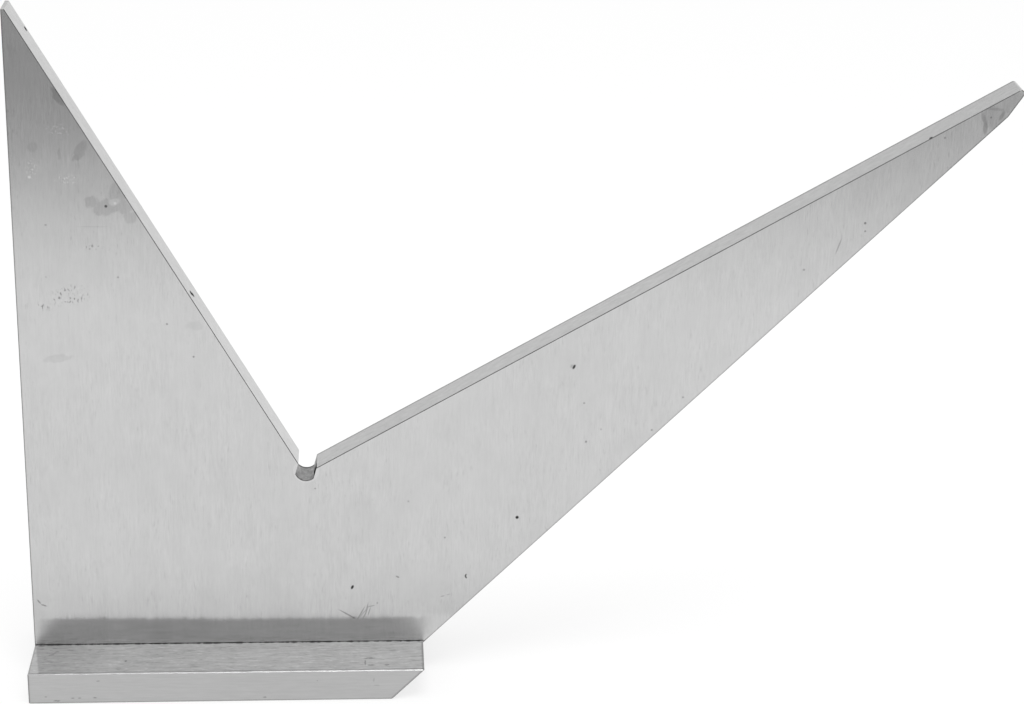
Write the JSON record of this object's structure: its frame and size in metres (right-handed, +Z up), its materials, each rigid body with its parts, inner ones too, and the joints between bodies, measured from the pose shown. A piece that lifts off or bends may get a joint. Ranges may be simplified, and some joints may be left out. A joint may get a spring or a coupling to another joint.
{
  "type": "multi-angle square",
  "caption": "Flat marking and checking square: a notched ground steel plate with edges at 90, 60, 45 and 30 degrees, standing on a wide flat stock with ledges on both sides.",
  "frame": {"origin": "on the underside of the stock, in the blade's middle plane, directly below the blade's 90 degree edge", "axes": "+X along the stock from the 90 degree edge towards the undercut toe, +Y through the blade's thickness from the face seen in the picture to the far face, +Z up from the stock's underside"},
  "size_m": [0.165, 0.0274, 0.1175],
  "materials": {
    "ground_plate": "satin, ground along the blade's height",
    "ground_bar": "satin, ground along the stock",
    "screw_steel": "turned, semi-bright",
    "dowel_steel": "fine ground, bright"
  },
  "bodies": {
    "root": {"blade": "ground_plate", "stock": "ground_bar", "heel_screw": "screw_steel", "middle_screw": "screw_steel", "toe_screw": "screw_steel", "heel_dowel": "dowel_steel", "toe_dowel": "dowel_steel"}
  },
  "joints": []
}
